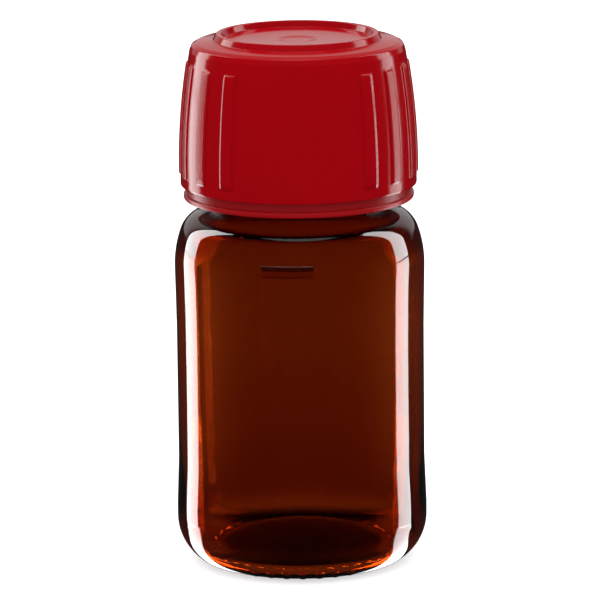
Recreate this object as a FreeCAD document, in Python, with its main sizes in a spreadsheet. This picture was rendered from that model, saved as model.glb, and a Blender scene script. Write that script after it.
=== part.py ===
import FreeCAD, Part
import math
import os
import Sketcher

# Small amber glass bottle with a red push-and-turn closure.
# Millimetres and degrees. +Z is up, the bottle stands on Z = 0 on the axis of
# the neck, and the front, with the fill bar and the plain cap panel, faces -Y.

SIZES = [
    # The body of the bottle
    ("heel_diameter", 35.8, "widest diameter, just above the heel curve"),
    ("panel_recess", 0.28, "how far the label panel lies inside the widest radius"),
    ("shoulder_recess", 0.14, "how far the foot of the shoulder lies inside the widest radius"),
    ("heel_radius", 7.0, "large radius of the heel curve"),
    ("foot_radius", 2.75, "small radius that rolls under to the bearing ring"),
    ("foot_ring_inset", 4.3, "from the widest radius in to the flat bearing ring"),
    ("foot_flat", 1.4, "width of the flat bearing ring"),
    ("heel_land", 1.7, "straight height above the heel curve"),
    ("panel_foot", 15.0, "height where the label panel begins"),
    ("panel_head_drop", 9.0, "from the foot of the shoulder down to the label panel"),
    ("shoulder_start", 43.0, "height where the shoulder begins to turn in"),
    ("shoulder_sweep", 15.0, "large radius of the shoulder"),
    ("shoulder_sweep_angle", 20.0, "turn of the large radius"),
    ("shoulder_corner", 4.0, "small radius of the shoulder"),
    ("shoulder_corner_angle", 68.0, "turn at the end of the small radius"),
    ("glass_wall", 1.9, "wall of the body and the shoulder"),
    ("base_thickness", 2.3, "glass at the middle of the base"),
    ("push_up", 1.9, "height of the dome under the base"),
    ("floor_fall", 1.0, "fall of the inner floor from its middle"),
    ("inner_heel_radius", 5.0, "inside corner between floor and wall"),
    ("knurl_height", 0.25, "stipples of the bearing ring"),
    ("knurl_length", 1.2, "stipple across the ring"),
    ("knurl_width", 1.0, "stipple along the ring"),
    ("knurl_count", 36, "stipples round the ring"),
    ("fill_bar_length", 7.4, "raised bar on the shoulder"),
    ("fill_bar_width", 1.5, "raised bar on the shoulder"),
    ("fill_bar_relief", 0.25, "how far the bar stands out"),
    ("fill_bar_rise", 2.6, "from the foot of the shoulder to the middle of the bar"),
    ("fill_bar_shift", 1.7, "how far the bar lies left of the middle"),
    # The neck finish
    ("shoulder_width", 4.76, "from the foot of the shoulder in to the plain neck"),
    ("neck_fillet", 1.2, "hollow corner between shoulder and neck"),
    ("neck_wall", 2.9, "glass between the thread's wall and the mouth"),
    ("finish_height", 18.1, "from the root of the neck to the lip"),
    ("bead_relief", 1.1, "locking bead that holds the tamper band down, out from the neck"),
    ("bead_rise", 2.5, "from the root of the neck to the underside of the bead"),
    ("bead_bevel", 0.35, "lower edge of the bead"),
    ("bead_land", 0.3, "straight side of the bead"),
    ("lip_round", 0.8, "outer rounding of the lip"),
    ("lip_bevel", 0.4, "inner edge of the lip"),
    ("thread_inset", 0.6, "how far the thread's wall lies inside the plain neck"),
    ("thread_relief", 1.2, "how far the thread stands out of its wall"),
    ("thread_pitch", 3.18, "rise of the thread in a turn"),
    ("thread_turns", 1.5, "turns of the thread on the glass"),
    ("thread_drop", 2.6, "from the lip to the middle of the thread's upper end"),
    ("thread_base_width", 2.0, "thread where it leaves the neck"),
    ("thread_crest_width", 0.9, "thread at its crest"),
    ("thread_root_sink", 0.15, "how deep a thread's ridge is rooted in its wall"),
    # The seal liner
    ("liner_thickness", 1.0, "sealing disc, pressed"),
    ("liner_side_gap", 0.1, "play between the liner and its seat"),
    # The inner cap
    ("thread_clearance", 0.2, "play between the two threads, at crests and flanks"),
    ("cap_thread_turns", 1.75, "turns of the thread in the inner cap"),
    ("skirt_wall", 1.15, "wall of the inner cap at its lower edge"),
    ("skirt_taper", 0.5, "how much narrower the inner cap is at its top, in radius"),
    ("plate_thickness", 1.2, "top of the inner cap"),
    ("plate_bevel", 0.8, "bevel of the inner cap's top edge"),
    ("liner_seat_inset", 0.5, "step from the thread's wall in to the liner seat"),
    ("liner_seat_depth", 2.9, "height of the liner seat's wall"),
    ("skirt_gap", 0.6, "from the top of the bead's side to the skirt's lower edge"),
    ("snap_rise", 2.0, "from the skirt's lower edge to its snap bead"),
    ("snap_height", 0.8, "height of the snap bead and of the hook under it"),
    ("snap_relief", 0.43, "how far the snap bead stands out"),
    ("snap_play", 0.1, "play between the snap bead and the hook at rest"),
    # Drive lugs on the inner cap and under the outer cap
    ("lug_count", 8, "lugs on each of the two caps"),
    ("lug_height", 0.9, "height of a lug"),
    ("lug_angle", 17.0, "width of a lug, as an angle"),
    ("lug_inset", 2.05, "from the inner cap's top edge in to a lug"),
    ("lug_length", 4.9, "a lug, along the radius"),
    ("push_travel", 1.1, "how far the outer cap is pushed down to turn"),
    ("push_clearance", 0.1, "play left over when it is pushed down"),
    # The tamper band
    ("band_standoff", 1.4, "from the root of the neck to the band"),
    ("band_neck_gap", 0.25, "play between the band's inner lip and the neck"),
    ("band_bead_gap", 0.15, "play between the band and the bead"),
    ("band_side_gap", 0.15, "play between the band and the outer cap's hem"),
    ("band_inset", 0.4, "how far the band's rim lies inside the outer cap's side"),
    ("band_bevel", 0.35, "lower outer edge of the band"),
    ("bridge_height", 0.35, "breakable bridges between band and inner cap"),
    ("bridge_width", 0.6, "each bridge, along the ring"),
    ("bridge_depth", 0.6, "each bridge, across the ring"),
    ("bridge_count", 8, "bridges round the band"),
    # The outer cap
    ("shell_gap", 0.89, "space between the two caps at the skirt"),
    ("shell_wall", 0.9, "wall of the outer cap"),
    ("hem_wall", 0.7, "thinner wall at the hem, round the band"),
    ("hem_drop", 0.65, "how far the hem reaches below the inner cap"),
    ("shell_straight", 2.4, "upright side above the hem"),
    ("shell_taper", 1.5, "how much narrower the outer cap is at its top edge"),
    ("shell_top_wall", 1.65, "top of the outer cap under its ring"),
    ("top_edge_drop", 1.55, "from the top disc to the foot of the edge rounding"),
    ("land_drop", 0.3, "from the top disc to the outer edge of the top"),
    ("land_inset", 1.0, "width of the edge rounding"),
    ("hook_gap", 0.15, "play between the hook and the inner cap's skirt"),
    ("inner_corner", 0.6, "bevel inside the top of the outer cap"),
    ("ring_inset", 4.14, "from the top edge in to the crest of the raised ring"),
    ("ring_height", 0.9, "raised ring above the disc inside it"),
    ("ring_crest", 0.3, "half the width of the ring's flat crest"),
    ("ring_slope", 0.45, "slope on each side of the ring"),
    ("gate_diameter", 4.5, "shallow gate recess in the middle of the top"),
    ("gate_depth", 0.2, "depth of the gate recess"),
    ("rib_relief", 0.22, "how far the side ribs stand out"),
    ("rib_angle", 5.9, "width of a rib, as an angle"),
    ("rib_first_angle", 36.0, "first rib, from the middle of the front"),
    ("rib_span", 108.0, "from the first rib to the last on one side"),
    ("rib_count", 7, "ribs on each side"),
    ("rib_foot", 1.6, "from the hem to the ribs"),
    ("rib_head", 1.7, "from the foot of the edge rounding down to the ribs"),
    ("rib_root_sink", 0.3, "how deep a rib is rooted in the outer cap"),
]

# What follows from the driving sizes: radii and heights that pieces share
SHARED = [
    ("foot_centre_height", "sizes.knurl_height + sizes.foot_radius"),
    ("body_radius", "sizes.heel_diameter / 2"),
    ("panel_radius", "body_radius - sizes.panel_recess"),
    ("shoulder_radius", "body_radius - sizes.shoulder_recess"),
    ("foot_centre_radius", "body_radius - sizes.foot_ring_inset"),
    ("foot_flat_radius", "foot_centre_radius - sizes.foot_flat"),
    ("dome_rise", "sizes.push_up - sizes.knurl_height"),
    ("dome_curve", "(foot_flat_radius ^ 2 + dome_rise ^ 2) / (2 * dome_rise)"),
    ("heel_centre_radius", "body_radius - sizes.heel_radius"),
    ("heel_reach", "sizes.heel_radius - sizes.foot_radius"),
    ("heel_run", "foot_centre_radius - heel_centre_radius"),
    ("heel_drop", "sqrt(heel_reach ^ 2 - heel_run ^ 2)"),
    ("heel_height", "foot_centre_height + heel_drop"),
    ("heel_join_radius", "heel_centre_radius + sizes.heel_radius * heel_run / heel_reach"),
    ("heel_join_height", "heel_height - sizes.heel_radius * heel_drop / heel_reach"),
    ("sweep_cos", "cos(sizes.shoulder_sweep_angle * 1 deg)"),
    ("sweep_sin", "sin(sizes.shoulder_sweep_angle * 1 deg)"),
    ("corner_cos", "cos(sizes.shoulder_corner_angle * 1 deg)"),
    ("corner_sin", "sin(sizes.shoulder_corner_angle * 1 deg)"),
    ("corner_tan_half", "tan(sizes.shoulder_corner_angle * 0.5 deg)"),
    ("sweep_centre_radius", "shoulder_radius - sizes.shoulder_sweep"),
    ("corner_offset", "sizes.shoulder_sweep - sizes.shoulder_corner"),
    ("corner_centre_radius", "sweep_centre_radius + corner_offset * sweep_cos"),
    ("corner_centre_height", "sizes.shoulder_start + corner_offset * sweep_sin"),
    ("corner_end_radius", "corner_centre_radius + sizes.shoulder_corner * corner_cos"),
    ("corner_end_height", "corner_centre_height + sizes.shoulder_corner * corner_sin"),
    ("neck_radius", "shoulder_radius - sizes.shoulder_width"),
    ("cone_rise", "corner_cos / corner_sin"),
    ("neck_root", "corner_end_height + (corner_end_radius - neck_radius) * cone_rise"),
    ("neck_fillet_reach", "sizes.neck_fillet * corner_tan_half"),
    ("fill_bar_surface", "sweep_centre_radius + sqrt(sizes.shoulder_sweep ^ 2 - sizes.fill_bar_rise ^ 2)"),
    ("inner_corner_radius", "sizes.shoulder_corner - sizes.glass_wall"),
    ("inner_sweep_radius", "sizes.shoulder_sweep - sizes.glass_wall"),
    ("inner_end_radius", "corner_centre_radius + inner_corner_radius * corner_cos"),
    ("inner_end_height", "corner_centre_height + inner_corner_radius * corner_sin"),
    ("thread_root_radius", "neck_radius - sizes.thread_inset"),
    ("bore_radius", "thread_root_radius - sizes.neck_wall"),
    ("inner_neck_root", "inner_end_height + (inner_end_radius - bore_radius) * cone_rise"),
    ("inner_radius", "shoulder_radius - sizes.glass_wall"),
    ("floor_radius", "inner_radius - sizes.inner_heel_radius"),
    ("floor_middle", "sizes.push_up + sizes.base_thickness"),
    ("floor_edge", "floor_middle - sizes.floor_fall"),
    ("floor_curve", "(floor_radius ^ 2 + sizes.floor_fall ^ 2) / (2 * sizes.floor_fall)"),
    ("lip_height", "neck_root + sizes.finish_height"),
    ("bead_under", "neck_root + sizes.bead_rise"),
    ("bead_radius", "neck_radius + sizes.bead_relief"),
    ("bead_side_top", "bead_under + sizes.bead_bevel + sizes.bead_land"),
    ("thread_sunk_radius", "thread_root_radius - sizes.thread_root_sink"),
    ("bead_slope_top", "bead_side_top + bead_radius - thread_root_radius"),
    ("thread_crest_radius", "thread_root_radius + sizes.thread_relief"),
    ("thread_foot", "lip_height - sizes.thread_drop - sizes.thread_pitch * sizes.thread_turns"),
    ("cap_bore_radius", "thread_crest_radius + sizes.thread_clearance"),
    ("cap_crest_radius", "thread_root_radius + sizes.thread_clearance"),
    ("liner_seat_radius", "cap_bore_radius - sizes.liner_seat_inset"),
    ("skirt_radius", "cap_bore_radius + sizes.skirt_wall"),
    ("skirt_foot", "bead_side_top + sizes.skirt_gap + sizes.bead_bevel"),
    ("plate_under", "lip_height + sizes.liner_thickness"),
    ("plate_top", "plate_under + sizes.plate_thickness"),
    ("plate_side_top", "plate_top - sizes.plate_bevel"),
    ("plate_radius", "skirt_radius - sizes.skirt_taper"),
    ("lug_outer_radius", "plate_radius - sizes.lug_inset"),
    ("lug_inner_radius", "lug_outer_radius - sizes.lug_length"),
    ("snap_under", "skirt_foot + sizes.snap_rise"),
    ("snap_top", "snap_under + sizes.snap_height"),
    ("skirt_slope", "sizes.skirt_taper / (plate_side_top - skirt_foot)"),
    ("snap_under_wall", "skirt_radius - skirt_slope * sizes.snap_rise"),
    ("snap_top_wall", "snap_under_wall - skirt_slope * 1.5 * sizes.snap_height"),
    ("shell_radius", "skirt_radius + sizes.shell_gap + sizes.shell_wall"),
    ("shell_under", "plate_top + sizes.lug_height + sizes.push_travel + sizes.push_clearance"),
    ("shell_disc", "shell_under + sizes.shell_top_wall"),
    ("shell_edge_foot", "shell_disc - sizes.top_edge_drop"),
    ("shell_edge_radius", "shell_radius - sizes.shell_taper"),
    ("ring_radius", "shell_edge_radius - sizes.ring_inset"),
    ("hem_height", "skirt_foot - sizes.hem_drop"),
    ("side_start", "hem_height + sizes.shell_straight"),
    ("side_rise", "shell_edge_foot - side_start"),
    ("side_curve", "(sizes.shell_taper ^ 2 + side_rise ^ 2) / (2 * sizes.shell_taper)"),
    ("inner_side_top", "shell_under - sizes.inner_corner"),
    ("inner_side_curve", "side_curve - sizes.shell_wall"),
    ("side_centre", "shell_radius - side_curve"),
    ("inner_side_reach", "sqrt(inner_side_curve ^ 2 - (inner_side_top - side_start) ^ 2)"),
    ("inner_side_radius", "side_centre + inner_side_reach"),
    ("hook_top", "snap_under - sizes.snap_play"),
    ("hook_under", "hook_top - sizes.snap_height"),
    ("hook_root_radius", "side_centre + sqrt(inner_side_curve ^ 2 - (hook_top - side_start) ^ 2)"),
    ("hem_inner_radius", "shell_radius - sizes.hem_wall"),
    ("rib_foot_height", "hem_height + sizes.rib_foot"),
    ("rib_head_height", "shell_edge_foot - sizes.rib_head"),
    ("rib_rise", "rib_head_height - side_start"),
    ("rib_curve", "side_curve + sizes.rib_relief"),
    ("rib_root_curve", "side_curve - sizes.rib_root_sink"),
    ("rib_head_radius", "side_centre + sqrt(rib_curve ^ 2 - rib_rise ^ 2)"),
    ("rib_head_root", "side_centre + sqrt(rib_root_curve ^ 2 - rib_rise ^ 2)"),
    ("band_foot", "neck_root + sizes.band_standoff"),
    ("band_top", "skirt_foot - sizes.bridge_height"),
    ("band_lip_top", "bead_under - sizes.band_bead_gap"),
    ("band_rim_top", "hem_height - sizes.push_travel - sizes.push_clearance"),
    ("band_rim_radius", "shell_radius - sizes.band_inset"),
]

LINE = 0
LEFT = 1
RIGHT = -1

doc = FreeCAD.newDocument("bottle")


def make_sheet():
    sheet = doc.addObject("Spreadsheet::Sheet", "sizes")
    for row, (alias, value, meaning) in enumerate(SIZES, start=1):
        sheet.set("A%d" % row, alias)
        sheet.set("B%d" % row, str(value))
        sheet.set("C%d" % row, meaning)
        sheet.setAlias("B%d" % row, alias)


def make_shared():
    shared = doc.addObject("App::VarSet", "shared")
    for name, formula in SHARED:
        shared.addProperty("App::PropertyFloat", name, "Shared")
        shared.setExpression(name, formula)


def make_body(name):
    body = doc.addObject("PartDesign::Body", name)
    body.Label = name
    return body


def plane(body, role):
    return next(part for part in body.Origin.OriginFeatures if part.Role == role)


def make_sketch(body, name, role="XZ_Plane"):
    sketch = body.newObject("Sketcher::SketchObject", name)
    sketch.AttachmentSupport = [(plane(body, role), "")]
    sketch.MapMode = "FlatFace"
    return sketch


def arc_between(first, last, radius, turn):
    """The short arc from first to last that bends to the left or to the right."""
    run = last[0] - first[0]
    rise = last[1] - first[1]
    chord = math.hypot(run, rise)
    height = math.sqrt(max(radius ** 2 - chord ** 2 / 4, 0)) * turn
    centre_x = (first[0] + last[0]) / 2 - rise / chord * height
    centre_y = (first[1] + last[1]) / 2 + run / chord * height
    start, end = (first, last) if turn == LEFT else (last, first)
    circle = Part.Circle(FreeCAD.Vector(centre_x, centre_y, 0), FreeCAD.Vector(0, 0, 1), radius)
    start_angle = math.atan2(start[1] - centre_y, start[0] - centre_x)
    end_angle = math.atan2(end[1] - centre_y, end[0] - centre_x)
    return Part.ArcOfCircle(circle, start_angle, end_angle)


def draw_outline(sketch, corners):
    """A closed outline. Each corner is (across, up) or (across, up, radius, turn), as
    formulas, and with a radius the edge that leaves the corner is an arc."""
    doc.recompute()
    places = [tuple(float(sketch.evalExpression(c)) for c in corner[:2]) for corner in corners]
    count = len(corners)
    turns = []
    for index, corner in enumerate(corners):
        first = FreeCAD.Vector(*places[index], 0)
        last = FreeCAD.Vector(*places[(index + 1) % count], 0)
        if len(corner) == 2:
            sketch.addGeometry(Part.LineSegment(first, last), False)
            turns.append(LINE)
        else:
            radius = float(sketch.evalExpression(corner[2]))
            sketch.addGeometry(arc_between(first, last, radius, corner[3]), False)
            turns.append(corner[3])
    start_of = [2 if turn == RIGHT else 1 for turn in turns]
    end_of = [1 if turn == RIGHT else 2 for turn in turns]
    for index, corner in enumerate(corners):
        following = (index + 1) % count
        sketch.addConstraint(
            Sketcher.Constraint("Coincident", index, end_of[index], following, start_of[following])
        )
        for kind, place, formula in zip(("DistanceX", "DistanceY"), places[index], corner):
            number = sketch.addConstraint(
                Sketcher.Constraint(kind, -1, 1, index, start_of[index], place)
            )
            sketch.setExpression("Constraints[%d]" % number, formula)
        if turns[index] != LINE:
            radius = sketch.Geometry[index].Radius
            number = sketch.addConstraint(Sketcher.Constraint("Radius", index, radius))
            sketch.setExpression("Constraints[%d]" % number, corner[2])


def rectangle(left, right, low, high):
    return [(left, low), (right, low), (right, high), (left, high)]


def revolve(body, name, corners, angle=None):
    """An outline turned round the Z axis, all the way or as a sector astride its plane."""
    sketch = make_sketch(body, name + "_outline")
    draw_outline(sketch, corners)
    feature = body.newObject("PartDesign::Revolution", name)
    feature.Profile = sketch
    feature.ReferenceAxis = (sketch, ["V_Axis"])
    if angle is None:
        feature.Angle = 360
    else:
        feature.Midplane = True
        feature.setExpression("Angle", angle)
    return feature


def turn_plane(feature, angle):
    """Turns a sector's sketch plane round the Z axis, counter-clockwise from +X."""
    sketch = feature.Profile[0]
    sketch.AttachmentOffset = FreeCAD.Placement(
        FreeCAD.Vector(), FreeCAD.Rotation(FreeCAD.Vector(0, 1, 0), 1)
    )
    sketch.setExpression("AttachmentOffset.Rotation.Angle", angle)


def polar_pattern(body, name, feature, count, angle="360"):
    """Copies of a feature round the Z axis, as the last feature of the body."""
    pattern = body.newObject("PartDesign::PolarPattern", name)
    pattern.Originals = [feature]
    pattern.Axis = (feature.Profile[0], ["V_Axis"])
    pattern.setExpression("Angle", angle)
    pattern.setExpression("Occurrences", count)
    body.Tip = pattern
    return pattern


def add_helix(body, name, corners, turns):
    """A thread ridge: an outline carried up a right-handed helix."""
    sketch = make_sketch(body, name + "_outline")
    draw_outline(sketch, corners)
    ridge = body.newObject("PartDesign::AdditiveHelix", name)
    ridge.Profile = sketch
    ridge.ReferenceAxis = (sketch, ["V_Axis"])
    ridge.Mode = "pitch-turns-angle"
    ridge.setExpression("Pitch", "sizes.thread_pitch")
    ridge.setExpression("Turns", turns)
    return ridge


def pad(body, name, sketch, length):
    feature = body.newObject("PartDesign::Pad", name)
    feature.Profile = sketch
    feature.setExpression("Length", length)
    return feature


def make_glass_bottle():
    body = make_body("glass_bottle")
    outside = [
        ("0", "sizes.push_up", "shared.dome_curve", RIGHT),
        ("shared.foot_flat_radius", "sizes.knurl_height"),
        ("shared.foot_centre_radius", "sizes.knurl_height", "sizes.foot_radius", LEFT),
        ("shared.heel_join_radius", "shared.heel_join_height", "sizes.heel_radius", LEFT),
        ("shared.body_radius", "shared.heel_height"),
        ("shared.body_radius", "shared.heel_height + sizes.heel_land"),
        ("shared.panel_radius", "sizes.panel_foot"),
        ("shared.panel_radius", "sizes.shoulder_start - sizes.panel_head_drop"),
        ("shared.shoulder_radius", "sizes.shoulder_start", "sizes.shoulder_sweep", LEFT),
        ("shared.corner_centre_radius + sizes.shoulder_corner * shared.sweep_cos",
         "shared.corner_centre_height + sizes.shoulder_corner * shared.sweep_sin",
         "sizes.shoulder_corner", LEFT),
        ("shared.corner_end_radius", "shared.corner_end_height"),
        ("shared.neck_radius + shared.neck_fillet_reach * shared.corner_sin",
         "shared.neck_root - shared.neck_fillet_reach * shared.corner_cos",
         "sizes.neck_fillet", RIGHT),
        ("shared.neck_radius", "shared.neck_root + shared.neck_fillet_reach"),
    ]
    finish = [
        ("shared.neck_radius", "shared.bead_under"),
        ("shared.bead_radius - sizes.bead_bevel", "shared.bead_under"),
        ("shared.bead_radius", "shared.bead_under + sizes.bead_bevel"),
        ("shared.bead_radius", "shared.bead_side_top"),
        ("shared.thread_root_radius", "shared.bead_slope_top"),
        ("shared.thread_root_radius", "shared.lip_height - sizes.lip_round", "sizes.lip_round", LEFT),
        ("shared.thread_root_radius - sizes.lip_round", "shared.lip_height"),
        ("shared.bore_radius + sizes.lip_bevel", "shared.lip_height"),
        ("shared.bore_radius", "shared.lip_height - sizes.lip_bevel"),
    ]
    inside = [
        ("shared.bore_radius", "shared.inner_neck_root"),
        ("shared.inner_end_radius", "shared.inner_end_height", "shared.inner_corner_radius", RIGHT),
        ("shared.corner_centre_radius + shared.inner_corner_radius * shared.sweep_cos",
         "shared.corner_centre_height + shared.inner_corner_radius * shared.sweep_sin",
         "shared.inner_sweep_radius", RIGHT),
        ("shared.inner_radius", "sizes.shoulder_start"),
        ("shared.inner_radius", "shared.floor_edge + sizes.inner_heel_radius",
         "sizes.inner_heel_radius", RIGHT),
        ("shared.floor_radius", "shared.floor_edge", "shared.floor_curve", LEFT),
        ("0", "shared.floor_middle"),
    ]
    revolve(body, "blown_glass", outside + finish + inside)
    add_helix(body, "neck_thread", [
        ("shared.thread_sunk_radius", "shared.thread_foot - sizes.thread_base_width / 2"),
        ("shared.thread_crest_radius", "shared.thread_foot - sizes.thread_crest_width / 2"),
        ("shared.thread_crest_radius", "shared.thread_foot + sizes.thread_crest_width / 2"),
        ("shared.thread_sunk_radius", "shared.thread_foot + sizes.thread_base_width / 2"),
    ], "sizes.thread_turns")
    add_fill_bar(body)
    add_knurls(body)


def add_fill_bar(body):
    """A plain raised bar on the front of the shoulder."""
    sketch = make_sketch(body, "fill_bar_outline")
    draw_outline(sketch, rectangle(
        "-sizes.fill_bar_shift - sizes.fill_bar_length / 2",
        "-sizes.fill_bar_shift + sizes.fill_bar_length / 2",
        "sizes.shoulder_start + sizes.fill_bar_rise - sizes.fill_bar_width / 2",
        "sizes.shoulder_start + sizes.fill_bar_rise + sizes.fill_bar_width / 2",
    ))
    sketch.setExpression("AttachmentOffset.Base.z", "shared.inner_radius + 0.5 * sizes.glass_wall")
    rooted = "(shared.inner_radius + 0.5 * sizes.glass_wall)"
    pad(body, "fill_bar", sketch, "shared.fill_bar_surface + sizes.fill_bar_relief - " + rooted)


def add_knurls(body):
    """Short flat stipples across the bearing ring. The bottle stands on them."""
    sketch = make_sketch(body, "knurl_outline", "XY_Plane")
    middle = "shared.foot_centre_radius - sizes.foot_flat / 2"
    draw_outline(sketch, rectangle(
        middle + " - sizes.knurl_length / 2",
        middle + " + sizes.knurl_length / 2",
        "-sizes.knurl_width / 2",
        "sizes.knurl_width / 2",
    ))
    knurl = pad(body, "knurl", sketch, "2 * sizes.knurl_height")
    pattern = body.newObject("PartDesign::PolarPattern", "knurls")
    pattern.Originals = [knurl]
    pattern.Axis = (sketch, ["N_Axis"])
    pattern.Angle = 360
    pattern.setExpression("Occurrences", "sizes.knurl_count")
    body.Tip = pattern


def make_seal_liner():
    body = make_body("seal_liner")
    radius = "shared.liner_seat_radius - sizes.liner_side_gap"
    revolve(body, "sealing_disc", rectangle("0", radius, "shared.lip_height", "shared.plate_under"))


def make_inner_cap():
    body = make_body("inner_cap")
    half_crest = "(sizes.thread_pitch / 2 - sizes.thread_base_width / 2 - sizes.thread_clearance)"
    half_base = "(sizes.thread_pitch / 2 - sizes.thread_crest_width / 2 - sizes.thread_clearance)"
    thread_foot = "shared.thread_foot - sizes.thread_pitch / 2"
    seat_step = "shared.plate_under - sizes.liner_seat_depth"
    revolve(body, "threaded_cup", [
        ("0", "shared.plate_under"),
        ("shared.liner_seat_radius", "shared.plate_under"),
        ("shared.liner_seat_radius", seat_step + " + sizes.liner_seat_inset"),
        ("shared.cap_bore_radius", seat_step),
        ("shared.cap_bore_radius", "shared.skirt_foot"),
        ("shared.skirt_radius", "shared.skirt_foot"),
        ("shared.snap_under_wall", "shared.snap_under"),
        ("shared.snap_under_wall + sizes.snap_relief", "shared.snap_under"),
        ("shared.snap_under_wall + sizes.snap_relief", "shared.snap_under + sizes.snap_height / 2"),
        ("shared.snap_top_wall", "shared.snap_top + sizes.snap_height / 2"),
        ("shared.plate_radius", "shared.plate_side_top"),
        ("shared.plate_radius - sizes.plate_bevel", "shared.plate_top"),
        ("0", "shared.plate_top"),
    ])
    add_helix(body, "cap_thread", [
        ("shared.cap_bore_radius + sizes.thread_root_sink", thread_foot + " - " + half_base),
        ("shared.cap_bore_radius + sizes.thread_root_sink", thread_foot + " + " + half_base),
        ("shared.cap_crest_radius", thread_foot + " + " + half_crest),
        ("shared.cap_crest_radius", thread_foot + " - " + half_crest),
    ], "sizes.cap_thread_turns")
    lug = revolve(body, "drive_lug", rectangle(
        "shared.lug_inner_radius",
        "shared.lug_outer_radius",
        "shared.plate_top - sizes.plate_thickness / 2",
        "shared.plate_top + sizes.lug_height",
    ), "sizes.lug_angle")
    polar_pattern(body, "drive_lugs", lug, "sizes.lug_count")


def make_tamper_band():
    body = make_body("tamper_band")
    outer = "shared.hem_inner_radius - sizes.band_side_gap"
    revolve(body, "band", [
        ("shared.neck_radius + sizes.band_neck_gap", "shared.band_foot"),
        ("shared.band_rim_radius - sizes.band_bevel", "shared.band_foot"),
        ("shared.band_rim_radius", "shared.band_foot + sizes.band_bevel"),
        ("shared.band_rim_radius", "shared.band_rim_top"),
        (outer, "shared.band_rim_top"),
        (outer, "shared.band_top"),
        ("shared.bead_radius + sizes.band_bead_gap", "shared.band_top"),
        ("shared.bead_radius + sizes.band_bead_gap", "shared.band_lip_top"),
        ("shared.neck_radius + sizes.band_neck_gap", "shared.band_lip_top - sizes.band_bead_gap"),
    ])
    sketch = make_sketch(body, "bridge_outline")
    middle = "(shared.bead_radius + sizes.band_bead_gap + shared.skirt_radius) / 2"
    draw_outline(sketch, rectangle(
        middle + " - sizes.bridge_depth / 2",
        middle + " + sizes.bridge_depth / 2",
        "shared.band_top - sizes.bridge_height",
        "shared.skirt_foot",
    ))
    bridge = pad(body, "bridge", sketch, "sizes.bridge_width")
    bridge.Midplane = True
    polar_pattern(body, "bridges", bridge, "sizes.bridge_count")


def make_outer_cap():
    body = make_body("outer_cap")
    ring = "shared.ring_radius"
    ring_top = "shared.shell_disc + sizes.ring_height"
    revolve(body, "shell", [
        ("0", "shared.shell_under"),
        ("shared.inner_side_radius - sizes.inner_corner", "shared.shell_under"),
        ("shared.inner_side_radius", "shared.inner_side_top", "shared.inner_side_curve", RIGHT),
        ("shared.hook_root_radius", "shared.hook_top"),
        ("shared.skirt_radius + sizes.hook_gap", "shared.hook_top"),
        ("shared.skirt_radius + sizes.hook_gap", "shared.hook_under + sizes.snap_height / 2"),
        ("shared.hem_inner_radius", "shared.hook_under"),
        ("shared.hem_inner_radius", "shared.hem_height"),
        ("shared.shell_radius", "shared.hem_height"),
        ("shared.shell_radius", "shared.side_start", "shared.side_curve", LEFT),
        ("shared.shell_edge_radius", "shared.shell_edge_foot", "1.3 * sizes.land_inset", LEFT),
        ("shared.shell_edge_radius - sizes.land_inset", "shared.shell_disc - sizes.land_drop"),
        (ring + " + sizes.ring_crest + sizes.ring_slope", "shared.shell_disc"),
        (ring + " + sizes.ring_crest", ring_top),
        (ring + " - sizes.ring_crest", ring_top),
        (ring + " - sizes.ring_crest - sizes.ring_slope", "shared.shell_disc"),
        ("sizes.gate_diameter / 2", "shared.shell_disc"),
        ("sizes.gate_diameter / 2 - sizes.gate_depth", "shared.shell_disc - sizes.gate_depth"),
        ("0", "shared.shell_disc - sizes.gate_depth"),
    ])
    for side, first_angle in (
        ("right", "-90 + sizes.rib_first_angle"),
        ("left", "-90 - sizes.rib_first_angle - sizes.rib_span"),
    ):
        rib = revolve(body, side + "_rib", [
            ("shared.shell_radius - sizes.rib_root_sink", "shared.rib_foot_height"),
            ("shared.shell_radius", "shared.rib_foot_height"),
            ("shared.shell_radius + sizes.rib_relief", "shared.rib_foot_height + sizes.rib_relief"),
            ("shared.shell_radius + sizes.rib_relief", "shared.side_start", "shared.rib_curve", LEFT),
            ("shared.rib_head_radius", "shared.rib_head_height"),
            ("shared.rib_head_root", "shared.rib_head_height", "shared.rib_root_curve", RIGHT),
            ("shared.shell_radius - sizes.rib_root_sink", "shared.side_start"),
        ], "sizes.rib_angle")
        turn_plane(rib, first_angle)
        polar_pattern(body, side + "_ribs", rib, "sizes.rib_count", "sizes.rib_span")
    lug = revolve(body, "drive_lug_under", rectangle(
        "shared.lug_inner_radius",
        "shared.lug_outer_radius",
        "shared.shell_under - sizes.lug_height",
        "shared.shell_under + sizes.shell_top_wall / 2",
    ), "sizes.lug_angle")
    turn_plane(lug, "180 / sizes.lug_count")
    polar_pattern(body, "drive_lugs_under", lug, "sizes.lug_count")


def check_document():
    for item in doc.Objects:
        if "Invalid" in item.State or "Error" in item.State:
            raise RuntimeError("%s failed: %s" % (item.Name, item.State))
    bodies = [item for item in doc.Objects if item.TypeId == "PartDesign::Body"]
    for body in bodies:
        if body.Shape.isNull() or not body.Shape.isValid():
            raise RuntimeError("%s has no valid shape" % body.Label)
    return bodies


make_sheet()
make_shared()
make_glass_bottle()
make_tamper_band()
make_seal_liner()
make_inner_cap()
make_outer_cap()
doc.recompute()
os.makedirs("parts", exist_ok=True)
for body in check_document():
    body.Shape.exportStep("parts/%s.step" % body.Label)
    print("%s: %d solid, %.1f cubic mm" % (body.Label, len(body.Shape.Solids), body.Shape.Volume))
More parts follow.
